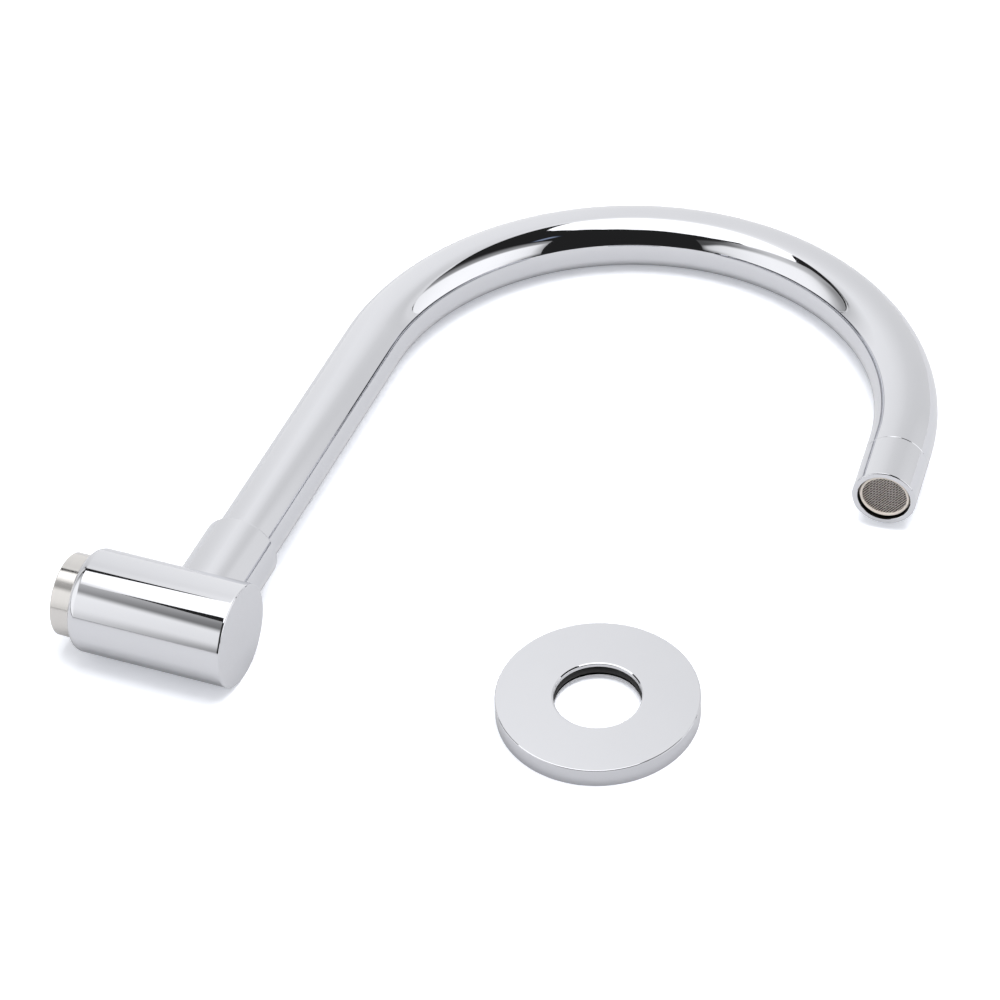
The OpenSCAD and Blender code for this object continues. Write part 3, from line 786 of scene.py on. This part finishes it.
outlet_way = math.sin(bend_angle) * across + math.cos(bend_angle) * upward
outlet_side = math.sin(bend_angle) * upward - math.cos(bend_angle) * across
outlet_place = spout_point(
    bend_radius * (1 - math.cos(bend_angle)) + drop_length * math.sin(bend_angle),
    bend_start + bend_radius * math.sin(bend_angle) + drop_length * math.cos(bend_angle))
at_outlet = placed(outlet_place, outlet_side, outlet_way)
mouth, mouth_chamfer, nozzle_bore = 0.01035, 0.00012, 0.00825
seat_depth, nozzle_back = -0.0128, -0.029
seam_start, seam_end = 0.0003 - nozzle_length, 0.0006 - nozzle_length
seam_depth, seam_round, outlet_round = 0.00025, 0.0005, 0.0005
nozzle = turned("nozzle_end", [
    (0, mouth + mouth_chamfer, 0), (-mouth_chamfer, mouth, 0), (seat_depth, mouth, 0),
    (seat_depth, nozzle_bore, 0), (nozzle_back, nozzle_bore, 0), (nozzle_back, tube_bore, 0),
    (-nozzle_length, tube_bore, 0), (-nozzle_length, tube_radius, 0), (seam_start, tube_radius, seam_round),
    (seam_end, tube_radius - seam_depth, 0), (seam_end, tube_radius, fine_edge),
    (0, tube_radius, outlet_round)], at_outlet, 192, 6)
nozzle.data.materials.append(chrome)


def refaced(piece, material, chosen):
    """Give a second material to the faces that are chosen by centre and normal."""
    piece.data.materials.append(material)
    for face in piece.data.polygons:
        face.material_index = int(chosen(face.center, face.normal))


def from_outlet(place):
    """How far a place is along the outlet's axis, and off it."""
    x, y, along = at_outlet.inverted() @ place
    return along, math.hypot(x, y)


def in_mouth(centre, normal):
    along, radius = from_outlet(centre)
    margin = 0.0004
    return -nozzle_length < along < -margin and radius < mouth + margin


# The mouth's inner faces get a near-black metal in place of chrome: painted shade for the dark gap round
# the cartridge.
bare_bore = metal("bare_bore", (0.030, 0.028, 0.026), (0.016, 0.015, 0.014), 0.4, 2600.0, 0.000006)
refaced(nozzle, bare_bore, in_mouth)
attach(nozzle, "spout")
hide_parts("nozzle_sleeve")

# ---------------------------------------------------------------- aerator
# A moulded cartridge screwed up inside the mouth, a little below its edge. Its
# cream rim frames a disc of woven steel wire; finer parts lie behind it.

shell_front, shell_back = -0.0013, -0.0113
window_radius, window_round = 0.0087, 0.00012
rim_radius, rim_round = 0.0097, 0.00025
mesh_front, mesh_radius, mesh_seat = -0.0021, 0.0090, -0.0086
screwed_front, screwed_back, screwed_radius = -0.0031, -0.0098, 0.01033
tail_radius, tail_bore = 0.0098, 0.0093
cream = moulded("cream_moulding", (0.95, 0.88, 0.81), (0.90, 0.82, 0.75), 0.30, 300.0, 0.00001)
shell = turned("aerator_rim", [
    (mesh_front, window_radius, 0), (shell_front, window_radius, window_round),
    (shell_front, rim_radius, rim_round), (screwed_front, rim_radius, 0),
    (screwed_front, screwed_radius, fine_edge), (screwed_back, screwed_radius, fine_edge),
    (screwed_back, tail_radius, 0), (shell_back, tail_radius, fine_edge), (shell_back, tail_bore, 0),
    (mesh_seat, tail_bore, 0), (mesh_seat, mesh_radius, 0), (mesh_front, mesh_radius, 0)],
    at_outlet, 160, 4)
shell.data.materials.append(cream)


def behind_mesh(centre, normal):
    along, radius = from_outlet(centre)
    return along < mesh_front - 0.0001 and radius < tail_bore + 0.00005


# A near-black plastic as painted shade: it darkens the cream rim's inner wall behind the weave, and the
# spacer, where little light reaches.
dark_plastic = moulded("dark_plastic", (0.030, 0.029, 0.028), (0.020, 0.019, 0.018), 0.45, 400.0, 0.00001)
refaced(shell, dark_plastic, behind_mesh)
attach(shell, "spout")
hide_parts("aerator_shell")


def weave_rule(tree, size):
    """Round wires in a plain weave, cut to a disc: stout warp wires lie nearly
    straight, and finer weft wires go over and under them, square to the first."""
    half = (size["Wires"] - 1) * size["Pitch"] * 0.5
    sets = tree.nodes.new("GeometryNodeJoinGeometry")
    for side in (1, -1):
        rows = Signal.node(tree, "GeometryNodeMeshLine", {"mode": "OFFSET"}, {
            "Count": size["Wires"], "Start Location": vector(tree, 0.0, half * -1),
            "Offset": vector(tree, 0.0, size["Pitch"])})
        wire = Signal.node(tree, "GeometryNodeCurvePrimitiveLine", {}, {
            "Start": (-1, 0, 0), "End": (1, 0, 0)})
        wire = Signal.node(tree, "GeometryNodeResampleCurve", {}, {"Curve": wire, "Count": size["Points"]})
        laid = Signal.node(tree, "GeometryNodeInstanceOnPoints", {}, {"Points": rows, "Instance": wire})
        real = Signal.node(tree, "GeometryNodeRealizeInstances", {}, {"Geometry": laid})
        x, y, _ = parts_of(Signal.node(tree, "GeometryNodeInputPosition"))
        chord = (size["Disc radius"].math("POWER", 2.0) - y * y).math("MAXIMUM", 0.0).math("SQRT")
        run = x * chord
        crossing = (run + half) / size["Pitch"] + (y + half) / size["Pitch"]
        lift = (crossing * math.pi).math("COSINE") * size["Warp lift" if side > 0 else "Weft lift"] * side
        bent = Signal.node(tree, "GeometryNodeSetPosition", {}, {
            "Geometry": real, "Position": vector(tree, *((run, y, lift) if side > 0 else (y, run, lift)))})
        round_wire = Signal.node(tree, "GeometryNodeCurvePrimitiveCircle", {}, {
            "Resolution": 8, "Radius": size["Warp radius" if side > 0 else "Weft radius"]})
        skin = Signal.node(tree, "GeometryNodeCurveToMesh", {}, {
            "Curve": bent, "Profile Curve": round_wire, "Fill Caps": True})
        skin.into(sets.inputs[0])
    return Signal.node(tree, "GeometryNodeSetShadeSmooth", {}, {"Geometry": Signal(sets.outputs[0])})


wire_steel = metal("wire_steel", (0.84, 0.78, 0.74), (0.68, 0.63, 0.60), 0.25, 2500.0, 0.00001)
weave_depth, weave_turn = 0.0002, math.radians(50)
weave = grown("outlet_weave", weave_rule, {
    "Wires": 21, "Points": 120, "Pitch": 0.00084, "Disc radius": mesh_radius - 0.00005,
    "Warp radius": 0.00016, "Weft radius": 0.00006, "Warp lift": 0.00002, "Weft lift": 0.00012}, wire_steel,
    at_outlet @ Matrix.Translation((0, 0, mesh_front - weave_depth)) @ Matrix.Rotation(weave_turn, 4, "Z"))
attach(weave, "spout")
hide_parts("aerator_outlet_mesh")
# The inner mesh gets a near-black steel: painted shade for the dark seen between the outlet's wires.
shaded_steel = metal("shaded_steel", (0.030, 0.028, 0.026), (0.016, 0.015, 0.014), 0.4, 2500.0, 0.00001)
finish_nodes(shaded_steel, "aerator_inner_mesh")
# The spacer behind the weave takes the same painted shade.
finish_nodes(dark_plastic, "aerator_spacer")
inner_plastic = moulded("aerator_plastic", (0.72, 0.72, 0.69), (0.66, 0.66, 0.63), 0.38, 400.0, 0.00001)
finish_nodes(inner_plastic, "aerator_sleeve", "aerator_jet_disc", "aerator_strainer")
finish_nodes(rubber, "aerator_washer")

# ---------------------------------------------------------------- wall flange
# A turned and chromed brass disc that slides over the neck and hides the hole in
# the wall. It lies loose on the table, and a black ring shows inside its hole.

flange_place = Vector((0.059856, -0.113400, 0))
flange_radius, flange_hole, flange_height = 0.038, 0.0163, 0.008
groove_low, groove_high, groove_radius = 0.00238, 0.00642, 0.02012
hollow_height, hollow_inner, hollow_outer = 0.005, 0.02192, 0.0345
boss_height = 0.0015
side_drop, side_chamfer = 0.00013, 0.0004
hole_drop, hole_chamfer = 0.00026, 0.0007
foot_round, low_round, high_round = 0.0002, 0.0003, 0.0006
upright = placed(flange_place, Vector((1, 0, 0)), Vector((0, 0, 1)))
flange = turned("flange_disc", [
    (boss_height, flange_hole, fine_edge), (boss_height, hollow_inner, 0),
    (hollow_height, hollow_inner, low_round), (hollow_height, hollow_outer, low_round),
    (0, hollow_outer, 0), (0, flange_radius, foot_round),
    (flange_height - side_drop, flange_radius, low_round),
    (flange_height, flange_radius - side_chamfer, high_round),
    (flange_height, flange_hole + hole_chamfer, high_round),
    (flange_height - hole_drop, flange_hole, low_round), (groove_high, flange_hole, fine_edge),
    (groove_high, groove_radius, 0), (groove_low, groove_radius, 0), (groove_low, flange_hole, fine_edge)],
    upright, 320, 5)
flange.data.materials.append(chrome)


def on_side(centre, normal):
    return abs(normal.z) < 0.3 and (centre - flange_place).xy.length > flange_radius - 0.001


# The flange's upright side has a rougher turned finish, and a darker tone that is painted shade for the
# floor's shadow it mirrors.
turned_side = plated("turned_side", (0.67, 0.675, 0.71), (0.64, 0.645, 0.68), 0.08, 0.00002)
refaced(flange, turned_side, on_side)
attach(flange, "flange")
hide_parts("wall_flange")

foam = moulded("gasket_foam", (0.080, 0.080, 0.084), (0.055, 0.055, 0.058), 0.75, 900.0, 0.0002)
finish_nodes(rubber, "flange_o_ring")
finish_nodes(foam, "flange_gasket")
